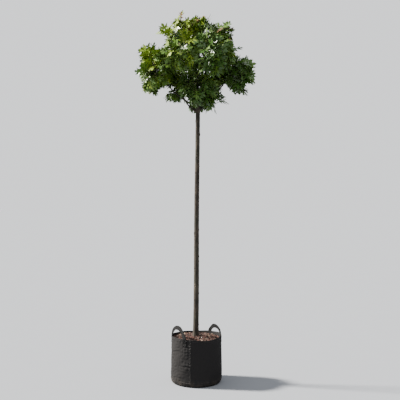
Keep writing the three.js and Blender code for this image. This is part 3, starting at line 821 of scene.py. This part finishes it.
MASSES = {  # centre and radius of a mass, and the height at which its bough leaves the stem
    "top_left": ((-0.136, -0.040, 2.826), 0.206, 2.304),
    "top_back": ((0.024, 0.130, 2.846), 0.206, 2.318),
    "top_right": ((0.130, -0.090, 2.786), 0.204, 2.306),
    "right_upper": ((0.290, 0.100, 2.610), 0.206, 2.276),
    "right": ((0.322, -0.080, 2.500), 0.202, 2.252),
    "low_right": ((0.136, -0.070, 2.342), 0.180, 2.216),
    "low_front": ((0.010, -0.190, 2.376), 0.180, 2.230),
    "low_left": ((-0.176, -0.010, 2.376), 0.176, 2.208),
    "left_low": ((-0.330, -0.100, 2.480), 0.176, 2.244),
    "left": ((-0.324, 0.060, 2.624), 0.206, 2.272),
    "front_left": ((-0.150, -0.290, 2.630), 0.206, 2.290),
    "front_right": ((0.120, -0.300, 2.610), 0.208, 2.284),
    "back_left": ((-0.130, 0.300, 2.640), 0.208, 2.296),
    "back_right": ((0.150, 0.290, 2.540), 0.208, 2.262),
    "low_back": ((-0.010, 0.180, 2.390), 0.180, 2.224),
}
BOUGH_ROOT_RADIUS = 0.008
BOUGH_TIP_RADIUS = 0.0045
BOUGH_ENTRY = 0.72  # it ends this share of the radius short of its mass's centre
TURN_OUT, TURN_UP = 0.38, 0.3  # where it turns: shares of its level reach and of its rise


def bough_line(centre, radius, fork, steps):
    """A quadratic Bezier curve from the stem's axis: out first, with its turn low down, then up."""
    start = trunk_axis(fork)
    reach = np.array(centre) - start
    end = start + reach * (1 - BOUGH_ENTRY * radius / np.linalg.norm(reach))
    turn = start + TURN_OUT * reach * [1, 1, 0]
    turn[2] = lerp(start[2], end[2], TURN_UP)
    t = np.linspace(0, 1, steps + 1)[:, None]
    return (1 - t) ** 2 * start + 2 * t * (1 - t) * turn + t**2 * end


def tube_rings(lines, radii, sides):
    """Round sections carried along lines (n, rings, 3), square to each line. The radii are (n, rings,
    sides), or 1 in place of what is the same throughout."""
    along = unit(np.gradient(lines, axis=1))
    helper = np.where(np.abs(along[:, :1, 2:]) > 0.9, np.array([1.0, 0, 0]), UP)
    across = unit(np.cross(along, helper))
    third = np.cross(along, across)
    angle = circle(sides)[:, None]
    section = across[:, :, None] * np.cos(angle) + third[:, :, None] * np.sin(angle)
    return lines[:, :, None] + section * radii[..., None]


def tubes(rings):
    """Points and faces of many closed tubes that are alike: rings is (n, rings, sides, 3)."""
    shapes = [skin(ring_set) for ring_set in rings]
    size = len(shapes[0][0])
    faces = [renumbered(kind, size, len(shapes)) for kind in shapes[0][1]]
    return np.concatenate([points for points, _ in shapes]), faces


def bough_rings(steps=44, sides=14):
    """All the boughs: an even taper with a collar where each leaves the stem, and bud scars along it."""
    lines = np.array([bough_line(*mass, steps) for mass in MASSES.values()])
    t = np.linspace(0, 1, steps + 1)[None, :, None]
    angle = circle(sides)
    run = np.linalg.norm(lines - lines[:, :1], axis=-1)[:, :, None]
    collar = 0.006 * np.exp(-np.maximum(run - 0.018, 0) / 0.012)
    scars = 0.0011 * np.exp(-((run / 0.034 % 1 - 0.5) ** 2) / 0.02) * (0.4 + 0.6 * np.cos(angle + 75 * run))
    radii = lerp(BOUGH_ROOT_RADIUS, BOUGH_TIP_RADIUS, t) + collar + scars
    return tube_rings(lines, radii, sides)


boughs = piece("boughs_bark", *tubes(bough_rings()), bark, "bark")
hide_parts(*["bough_" + name for name in MASSES])

# ---------------------------------------------------------------- twigs
# Inside each mass the bough runs on as a leading stem. Twigs each join the nearest wood, at tips
# spread evenly through the mass's own ball of space, and every twig ends in a cluster of buds.

TIP_GAP = 0.0003  # between a bough's tip and its leading stem in the solids
STEM_SHARE = 0.38  # of a mass's radius, from its bough's tip to the first fork
STEM_OVERLAP = 0.004  # of the leading stem with its bough
STEM_TIP_RADIUS = 0.0034
TWIG_TAPER = 0.6
WIDEST_COSINE = -0.55  # tips reach this far round the back of their mass's ball
PLASTIC = 1.2207440846057596  # the root of x to the fourth = x + 1, for a sequence in three dimensions
# How far the sequence is tried, twigs at most, the space between tips, how deep they lie in the ball
# as shares of its radius, and how thick the twigs are.
FIRST_TWIGS = {"tries": 24, "most": 6, "spacing": 0.055, "shell": (0.36, 0.66), "radius": 0.0026}
FINE_TWIGS = {"tries": 170, "most": 16, "spacing": 0.046, "shell": (0.26, 0.60), "radius": 0.0019}
CELL_MARGIN = 0.002
LIMB_CLEARANCE = 0.005
CLEAR_FROM = 0.12  # share of a twig or of a midrib that may lie against the wood it springs from
STEM_HEAD = 2.10  # height from which twigs and leaves keep clear of the stem
TIP_BUD, SIDE_BUD = 0.0078, 0.0058  # lengths
BUD_WIDTH = 0.26  # half of it, as a share of the length
BUD_LEAN = 0.75  # of the side buds, as a slope
BUD_TURN = 2.1  # from each to the next, in radians
BUD_BROWN, BUD_EDGE = (0.060, 0.024, 0.012, 1), (0.210, 0.100, 0.050, 1)
CENTRES = np.array([centre for centre, _, _ in MASSES.values()])
RADII = np.array([radius for _, radius, _ in MASSES.values()])
GOLDEN_ANGLE = np.pi * (3 - 5**0.5)


def limb_points(steps=40):
    """Points down the middle of the boughs and of the stem's head, and how thick the wood is there."""
    lines = np.array([bough_line(*mass, steps) for mass in MASSES.values()])
    thickness = np.broadcast_to(np.linspace(BOUGH_ROOT_RADIUS, BOUGH_TIP_RADIUS, steps + 1), lines.shape[:2])
    stem = np.linspace(STEM_HEAD, TRUNK_TOP, steps)
    points = np.concatenate([lines.reshape(-1, 3), trunk_axis(stem)])
    return points, np.concatenate([thickness.ravel(), trunk_radius(stem)])


LIMBS, LIMB_RADII = limb_points()


def clear_of_limbs(start, end):
    """True if the straight line between two points keeps out of the stem and the boughs."""
    along = lerp(start, end, np.linspace(CLEAR_FROM, 1, 12)[:, None])
    distance = np.linalg.norm(along[:, None] - LIMBS, axis=-1)
    return (distance > LIMB_RADII + LIMB_CLEARANCE).all()


def in_cell(own, point):
    """Inside a mass's ball, and on its own side of the plane in which that meets each other ball."""
    power = ((point - CENTRES) ** 2).sum(1) - RADII**2
    apart = np.linalg.norm(CENTRES - CENTRES[own], axis=1)
    others = np.arange(len(CENTRES)) != own
    return power[own] <= 0 and (power - power[own] > 2 * apart * CELL_MARGIN)[others].all()


def spread(index, seed):
    """The additive sequence in three dimensions: even over the unit cube however far it is carried."""
    return (0.5 + 0.137 * seed + (index + 1) / PLASTIC ** np.arange(1, 4)) % 1


def off_axis(axis, cosine, turn):
    """A direction at an angle off an axis, turned about it."""
    side = np.array([1.0, 0, 0]) if abs(axis[2]) > 0.9 else UP
    across = unit(side - axis * (side @ axis))
    sine = max(1 - cosine**2, 0) ** 0.5
    return axis * cosine + sine * (across * np.cos(turn) + np.cross(axis, across) * np.sin(turn))


def grow_twigs(own, mass):
    """One mass's wood, as rows of (start, end, radius at the start and at the end), its leading stem first.
    And its tips, as rows of (index in the sequence, point, where the twig starts)."""
    centre, radius, fork = mass
    line = bough_line(centre, radius, fork, 3)
    onward = unit(line[3] - line[2])
    heart = line[3] + onward * (TIP_GAP + STEM_SHARE * radius)
    outward = unit(np.array(centre) - trunk_axis(GRAFT_HEIGHT))
    wood = [(line[3] - onward * STEM_OVERLAP, heart, BOUGH_TIP_RADIUS, STEM_TIP_RADIUS)]
    nodes = [heart]
    tips = []
    for index in range(FINE_TWIGS["tries"]):
        order = FIRST_TWIGS if index < FIRST_TWIGS["tries"] else FINE_TWIGS
        if len(tips) >= order["most"]:
            continue
        wide, turn, deep = spread(index, own)
        direction = off_axis(outward, lerp(1, WIDEST_COSINE, wide), 2 * np.pi * turn)
        point = centre + direction * radius * lerp(*order["shell"], deep)
        start = min(nodes, key=lambda node: np.linalg.norm(node - point))
        if not in_cell(own, point) or not clear_of_limbs(start, point):
            continue
        if any(np.linalg.norm(tip - point) < order["spacing"] for _, tip, _ in tips):
            continue
        wood.append((start, point, order["radius"], TWIG_TAPER * order["radius"]))
        nodes += [point, lerp(start, point, 0.5)]
        tips.append((index, point, start))
    return wood, tips


def twig_rings(wood, steps=5, sides=6):
    """Tapering twigs that bow to one side by an eleventh of their length and back."""
    start, end, thick, thin = (np.array([row[k] for row in wood]) for k in range(4))
    t = np.linspace(0, 1, steps + 1)[None, :, None]
    bow = np.cross(end - start, unit(np.cross(end - start, UP) + 1e-9)) / 11
    turn = np.sin(np.arange(len(wood)) * GOLDEN_ANGLE)[:, None, None]
    lines = lerp(start[:, None], end[:, None], t) + bow[:, None] * turn * np.sin(np.pi * t)
    return tube_rings(lines, lerp(thick[:, None, None], thin[:, None, None], t), sides)


grown = [grow_twigs(own, mass) for own, mass in enumerate(MASSES.values())]
all_wood = [row for wood, _ in grown for row in wood]
twigs = piece("twigs", *tubes(twig_rings(all_wood)), bark, "bark")
foliage_nodes = ["foliage_" + name for name in MASSES]
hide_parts(*foliage_nodes)


def bud_scales():
    """Chestnut-brown scales with paler edges."""
    paint = Paint("bud scales", Specular_IOR_Level=0.5)
    rows = paint.noise(480, 2)
    colour = paint.mix(rows, BUD_BROWN, BUD_EDGE)
    return paint.finish(colour, 0.5 + rows * 0.2, rows, 0.0004)


def bud_cluster(wood, around=4):
    """A terminal bud and three beside it at the end of every twig but the leading stems: places and axes."""
    ends = np.array([row[1] for row in wood])
    along = unit(ends - np.array([row[0] for row in wood]))
    across = unit(np.cross(along, UP) + 1e-9)
    third = np.cross(along, across)
    origins, axes = [], []
    for bud in range(around):
        size, lean = (TIP_BUD, 0.0) if bud == 0 else (SIDE_BUD, BUD_LEAN)
        turn = BUD_TURN * bud
        axis = unit(along + lean * (across * np.cos(turn) + third * np.sin(turn)))
        side = unit(np.cross(axis, UP) + 1e-9)
        front = np.cross(axis, side)
        origins.append(ends + axis * 0.42 * size)
        axes.append(np.stack([axis * size, side * BUD_WIDTH * size, front * BUD_WIDTH * size], axis=1))
    return np.concatenate(origins), np.concatenate(axes)


grains("buds", *bud_cluster([row for wood, _ in grown for row in wood[1:]]), bud_scales(), "bark")

# ---------------------------------------------------------------- leaves
# Pin-oak leaves, deeply cut into bristle-tipped lobes with round bays between them, on slim stalks.
# They stand round each tip by the golden angle and hang a little. The upper face is glossy,
# the underside pale and dull. Each spray has its own green, partly by chance and partly painted light:
# paler on the key's side of the crown, and deeper on the far side as painted shade.

LEAF_LENGTH = 0.128  # with its stalk
LEAF_SCALES = (1.0, 0.84, 0.70)  # tried in turn until the leaf fits
LEAST_LEAF, LEAF_SPREAD = 0.90, 0.16  # share of that length which every leaf has, and which chance adds
SPRAY_TURN = 1.7  # from each spray to the next, in radians
LEAF_TURNS = 20
LEAVES_PER_TIP = 8
LEAF_STEP = 0.004  # between leaves, back along the twig
LEAF_TOSS = 1.7  # how far the faces are thrown about from the way their spray looks
MOST_OUTWARD, MOST_INWARD = 0.97, -0.15  # cosines between a leaf and the way out of its ball
FACE_UP, FACE_OUT, FACE_LIGHT = 0.2, 0.9, 0.7  # how much each draws a leaf's face
DROOP, TROUGH, TWIST, CURL = (0.10, 0.42), (0.05, 0.36), (-0.7, 0.7), (0.2, 0.9)  # from leaf to leaf
LEAF_SAG = (0.62, 0.12)  # how much leaves hang, at the foot of the crown and at its top
CROWN_FOOT, CROWN_DEPTH = 2.30, 0.60  # height of that foot, and from there to the top
BLADE_THICKNESS = 0.0005
CROWN_CENTRE = np.array([0.0, 0.0, 2.60])
CROWN_REACH = 0.45
LIGHTWARD = unit(np.array([-0.90, -0.05, 0.25]))  # leaves turn their faces this way
SUNWARD = unit(np.array([-0.60, 0.10, 0.66]))  # the key's side: sprays here get paler greens, painted light
LIGHT_COUNTS, CHANCE_COUNTS = 0.75, 1.1  # in a spray's score
# A pale spray stands for painted light on the key's side of the crown.
SUNLIT_SCORE, MID_SCORE, BRONZE_CHANCE = 0.58, 0.02, 0.72  # from which a spray is pale, mid or bronze
YOUNG_LEAVES = 1  # of each spray
YOUNG_HEIGHT = 2.80  # from here up some of them are still bronze
GREENS = {  # upper face, underside
    # Deep greens are painted shade away from the key; the palest, painted light on its side and young leaves.
    "deep": ((0.026, 0.068, 0.008, 1), (0.046, 0.084, 0.016, 1)),
    "mid": ((0.048, 0.104, 0.008, 1), (0.072, 0.124, 0.018, 1)),
    "young_and_sunlit": ((0.125, 0.190, 0.008, 1), (0.150, 0.210, 0.020, 1)),
    "bronze": ((0.100, 0.048, 0.014, 1), (0.130, 0.068, 0.025, 1)),
}
STALK_GREEN, STALK_YELLOW = (0.150, 0.200, 0.045, 1), (0.300, 0.330, 0.110, 1)
EYE = np.array([0.031, -5.2, 1.484])  # the gaps run through the crown as seen from here
GAPS = np.array([  # centre across and up, and half the width and height, level with the stem
    (-0.317, 2.788, 0.062, 0.045),
    (-0.231, 2.390, 0.066, 0.023),
    (-0.297, 2.316, 0.031, 0.053),
    (-0.199, 2.232, 0.107, 0.052),
    (-0.104, 2.284, 0.028, 0.040),
    (0.224, 2.386, 0.036, 0.054),
    (0.191, 2.238, 0.034, 0.062),
    (0.273, 2.226, 0.057, 0.039),
    (0.326, 2.316, 0.049, 0.034),
    (0.453, 2.398, 0.049, 0.053),
    (0.531, 2.501, 0.041, 0.074),
    (-0.514, 2.640, 0.038, 0.074),
    (-0.502, 2.435, 0.049, 0.066),
    (-0.420, 2.324, 0.066, 0.034),
    (0.375, 2.685, 0.041, 0.026),
    (0.322, 2.812, 0.021, 0.021),
    (0.150, 2.980, 0.041, 0.033),
    (-0.076, 3.005, 0.037, 0.023),
    (-0.207, 3.005, 0.033, 0.041),
    (-0.268, 2.952, 0.045, 0.041),
    (0.158, 2.296, 0.020, 0.020),
])
LOBES = np.array([  # across and along, in leaf lengths: the tip, the widest lobes, then the others
    (0, 1.0), (0.38, 0.58), (-0.38, 0.58), (0.28, 0.86), (-0.28, 0.86), (0.27, 0.32), (-0.27, 0.32), (0, 0.6),
])
MIDRIB = (0.20, 0.275, 0.41, 0.50, 0.655, 0.735, 0.86)  # how far along it has points, from its foot
HALF_OUTLINE = (  # across and along, in leaf lengths: teeth and notches of three lobes, with bays between
    (0.020, 0.190), (0.140, 0.175), (0.155, 0.225), (0.290, 0.275), (0.060, 0.292),
    (0.055, 0.403), (0.240, 0.400), (0.250, 0.455), (0.440, 0.585), (0.070, 0.522),
    (0.060, 0.648), (0.200, 0.668), (0.195, 0.725), (0.320, 0.885), (0.062, 0.772),
    (0.100, 0.900),
)


def leaf_blade():
    """One flat blade: (across, along, lift) of its points, and its quads and triangles, upper face first.
    The outline is shared by both faces; only the midrib has a point on each."""
    right = np.array(HALF_OUTLINE)
    ribs = len(MIDRIB) - 1
    edge = 2 + 2 * ribs
    middle = np.column_stack([np.zeros(ribs), MIDRIB[1:]])
    ends = np.array([[0, MIDRIB[0]], [0, 1.0]])
    flat = np.concatenate([ends, middle, middle, right, right * [-1, 1]])
    lift = np.concatenate([[0, 0], np.full(ribs, 0.4), np.full(ribs, -0.6), np.zeros(2 * len(right))])
    base, tip, m1, m2, m3, m4, m5, m6 = range(2 + ribs)
    a0, a1, a2, a3, a4, b0, b1, b2, b3, b4, c0, c1, c2, c3, c4, d = range(edge, edge + len(right))
    quads = np.array([
        (m1, a0, a1, a2), (m1, a2, a3, a4), (m1, a4, b0, m2),
        (m2, b0, b1, b2), (m3, b2, b3, b4), (m3, b4, c0, m4),
        (m4, c0, c1, c2), (m5, c2, c3, c4), (m6, c4, d, tip),
    ])
    triangles = np.array([(base, a0, m1), (m2, b2, m3), (m4, c2, m5), (m5, c4, m6)])
    mirrored = np.arange(len(flat))
    mirrored[edge : edge + len(right)] += len(right)
    under = np.arange(len(flat))
    under[2 : 2 + ribs] += ribs
    upper = [np.concatenate([kind, mirrored[kind][:, ::-1]]) for kind in (quads, triangles)]
    return np.column_stack([flat, lift]), upper + [under[kind][:, ::-1] for kind in upper]


def in_gap(points):
    """True if a point lies in a gap: an ellipse level with the stem, seen through the crown from one side."""
    level = EYE + (points - EYE) * (-EYE[1] / (points[:, 1:2] - EYE[1]))
    centres, sizes = GAPS[:, :2], GAPS[:, 2:]
    return ((((level[:, None, ::2] - centres) / sizes) ** 2).sum(-1) < 1).any()


def clear_leaf(own, base, along, across, length):
    """True if a leaf's tip and its widest lobes stay in the mass's ball, all its lobes out of the gaps,
    and its midrib clear of the limbs."""
    lobes = base + length * (LOBES[:, :1] * across + LOBES[:, 1:] * along)
    inside = ((lobes[:3] - CENTRES[own]) ** 2).sum(1) <= RADII[own] ** 2
    return inside.all() and not in_gap(lobes) and clear_of_limbs(base, lobes[0])


def grow_leaves(own, index, tip, start):
    """The leaves round one tip, as rows of (base, along, face, length, how far round the twig)."""
    axis = unit(tip - CENTRES[own])
    back = unit(start - tip)
    sag = lerp(*LEAF_SAG, np.clip((tip[2] - CROWN_FOOT) / CROWN_DEPTH, 0, 1))
    rows = []
    for turn in range(LEAF_TURNS):
        if len(rows) == LEAVES_PER_TIP:
            break
        cosine = lerp(MOST_OUTWARD, MOST_INWARD, turn / LEAF_TURNS)
        around = GOLDEN_ANGLE * turn + SPRAY_TURN * (index + own)
        along = unit(off_axis(axis, cosine, around) - sag * UP)
        toss = LEAF_TOSS * (spread(turn, index + 3 * own) - 0.5)
        face = FACE_UP * UP + FACE_OUT * axis + FACE_LIGHT * LIGHTWARD + toss
        base = tip + back * LEAF_STEP * turn
        for scale in LEAF_SCALES:
            length = LEAF_LENGTH * scale * (LEAST_LEAF + LEAF_SPREAD * spread(turn, index)[0])
            if clear_leaf(own, base, along, unit(np.cross(along, face)), length):
                rows.append((base, along, face, length, turn))
                break
    return rows


def spray_greens(point, chance):
    """The greens of one spray, of its youngest leaves and of the rest, by chance and by its side:
    the palest towards the key, as painted light, and deep on the far side, as painted shade; a step
    paler for the young leaves, and now and then bronze at a shoot's tip near the top."""
    # Painted light and shade: how far the spray stands towards the key sets how pale its green is.
    light = (point - CROWN_CENTRE) @ SUNWARD / CROWN_REACH
    score = LIGHT_COUNTS * light + CHANCE_COUNTS * (chance - 0.5)
    grown_green = "young_and_sunlit" if score > SUNLIT_SCORE else "mid" if score > MID_SCORE else "deep"
    if chance > BRONZE_CHANCE and point[2] > YOUNG_HEIGHT:
        return "bronze", grown_green
    return {"deep": "mid"}.get(grown_green, "young_and_sunlit"), grown_green


def frames(rows):
    """Each leaf's base, its axes across, along and up from its face, and its length."""
    base, along, face = (np.array([row[k] for row in rows]) for k in range(3))
    across = unit(np.cross(along, face))
    return base, across, along, np.cross(across, along), np.array([row[3] for row in rows])


def hung(rows, across, along, lift):
    """Points (leaves, k, 3) at places on each leaf, after it has bent: its tip droops by the square of v,
    its sides rise from the midrib, curl down again by the square of u and ripple, and it is twisted
    along v."""
    base, x, y, z, length = frames(rows)
    vary = np.array([spread(row[4] + 3 * order, order % 17) for order, row in enumerate(rows)])
    droop = lerp(*DROOP, vary[:, :1])
    trough = lerp(*TROUGH, vary[:, 1:2])
    twist = lerp(*TWIST, vary[:, 2:])
    curl = lerp(*CURL, (vary[:, :1] * 7) % 1)
    ripple = 0.035 * np.sin(11 * along + 20 * vary[:, 1:2]) * np.abs(across)
    rise = -droop * along**2 + trough * np.abs(across) - curl * across**2 + ripple
    angle = twist * (along - 0.2)
    wide = across * np.cos(angle)
    high = rise + across * np.sin(angle)
    far = along + 0 * wide
    thick = (lift + 0 * wide) * BLADE_THICKNESS
    place = wide[..., None] * x[:, None] + far[..., None] * y[:, None] + high[..., None] * z[:, None]
    return base[:, None] + length[:, None, None] * place + thick[..., None] * z[:, None]


def leaf_skin(name, colour, roughness, gloss):
    """A leaf face in one plain green, a shade apart from place to place, with a faint puckered relief."""
    paint = Paint(name, Specular_IOR_Level=gloss)
    cloudy = paint.noise(14)
    shaded = tuple(0.80 * value for value in colour[:3]) + (1,)
    lit = tuple(1.22 * value for value in colour[:3]) + (1,)
    return paint.finish(paint.mix(cloudy, shaded, lit), roughness + cloudy * 0.08, paint.noise(160), 0.0004)


sprays = {green: [] for green in GREENS}
for own, (_, tips) in enumerate(grown):
    for index, tip, start in tips:
        rows = grow_leaves(own, index, tip, start)
        young, old = spray_greens(tip, spread(index, own)[1])
        sprays[young] += rows[:YOUNG_LEAVES]
        sprays[old] += rows[YOUNG_LEAVES:]

blade, blade_faces = leaf_blade()
for green, rows in sprays.items():
    upper, lower = GREENS[green]
    skins = [
        leaf_skin(green + " leaf, upper face", upper, roughness=0.34, gloss=0.36),
        leaf_skin(green + " leaf, underside", lower, roughness=0.62, gloss=0.12),
    ]
    points = hung(rows, *blade.T).reshape(-1, 3)
    arrays = [renumbered(kind, len(blade), len(rows)) for kind in blade_faces]
    leaves = piece("leaves_" + green, points, arrays, skins, "foliage", crisp=np.radians(50))
    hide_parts(*foliage_nodes)


def stalk_rings(rows, sides=3):
    """Each leaf's stalk and midrib: a thin tapering rib from the twig to just short of the leaf's tip."""
    v = np.array([0.0, 0.10, 0.20, 0.38, 0.56, 0.74, 0.92])
    thick = np.array([1.25, 0.95, 0.85, 0.70, 0.55, 0.42, 0.25]) / 1000
    return tube_rings(hung(rows, 0 * v, v, 0 * v), thick[None, :, None], sides)


def stalk_green():
    """A plain yellow-green, paler from place to place."""
    paint = Paint("leaf stalks", Specular_IOR_Level=0.4)
    cloudy = paint.noise(18)
    colour = paint.mix(cloudy, STALK_GREEN, STALK_YELLOW)
    return paint.finish(colour, 0.45 + cloudy * 0.1, cloudy, 0.0002)


all_leaves = [row for rows in sprays.values() for row in rows]
stalks = piece("leaf_stalks", *tubes(stalk_rings(all_leaves)), stalk_green(), "foliage")
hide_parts(*foliage_nodes)

# ---------------------------------------------------------------- studio
# A plain pale floor under an even pale surround, with one soft key on the left and a little behind,
# as an afternoon sun would stand. The floor's grey is worked out so that it shows as bright
# as the surround does, which hides the horizon.

FOCAL_PIXELS = 634.15
PICTURE_WIDTH = 400
SENSOR_WIDTH = 36
KEY_AZIMUTH, KEY_ELEVATION = np.radians([171, 36])
KEY_STRENGTH = np.array([24.5, 23.4, 21.6])  # watts on a square metre that faces it
KEY_WIDTH = np.radians(7)
SURROUND = np.array([1.22, 1.24, 1.27])
FLOOR_HALF = 90.0

key = bpy.data.lights.new("key", "SUN")
key.energy = KEY_STRENGTH.max()
key.color = KEY_STRENGTH / KEY_STRENGTH.max()
key.angle = KEY_WIDTH
key_lamp = bpy.data.objects.new("key", key)
key_lamp.rotation_euler = (np.pi / 2 - KEY_ELEVATION, 0, KEY_AZIMUTH + np.pi / 2)
bpy.context.scene.collection.objects.link(key_lamp)

surround = bpy.data.worlds.new("surround")
surround.use_nodes = True
surround.node_tree.nodes["Background"].inputs["Color"].default_value = (*SURROUND, 1)
bpy.context.scene.world = surround

floor_mesh = bpy.data.meshes.new("floor")
corners = FLOOR_HALF * np.array([[-1, -1, 0], [1, -1, 0], [1, 1, 0], [-1, 1, 0]])
floor_mesh.from_pydata(corners.tolist(), [], [(0, 1, 2, 3)])
floor = bpy.data.objects.new("floor", floor_mesh)
bpy.context.scene.collection.objects.link(floor)
floor_paint = Paint("studio floor", Specular_IOR_Level=0.0)
even = SURROUND / (KEY_STRENGTH * np.sin(KEY_ELEVATION) / np.pi + SURROUND)
floor_tone = floor_paint.noise(3)
floor_colour = floor_paint.mix(floor_tone, (*(0.985 * even), 1), (*(1.015 * even), 1))
floor_mesh.materials.append(floor_paint.finish(floor_colour, 0.9, floor_tone, 0.0005))

lens = bpy.data.cameras.new("camera")
lens.sensor_width = SENSOR_WIDTH
lens.lens = SENSOR_WIDTH * FOCAL_PIXELS / PICTURE_WIDTH
camera = bpy.data.objects.new("camera", lens)
camera.location = EYE
camera.rotation_euler = (np.pi / 2, 0, 0)
bpy.context.scene.collection.objects.link(camera)
bpy.context.scene.camera = camera
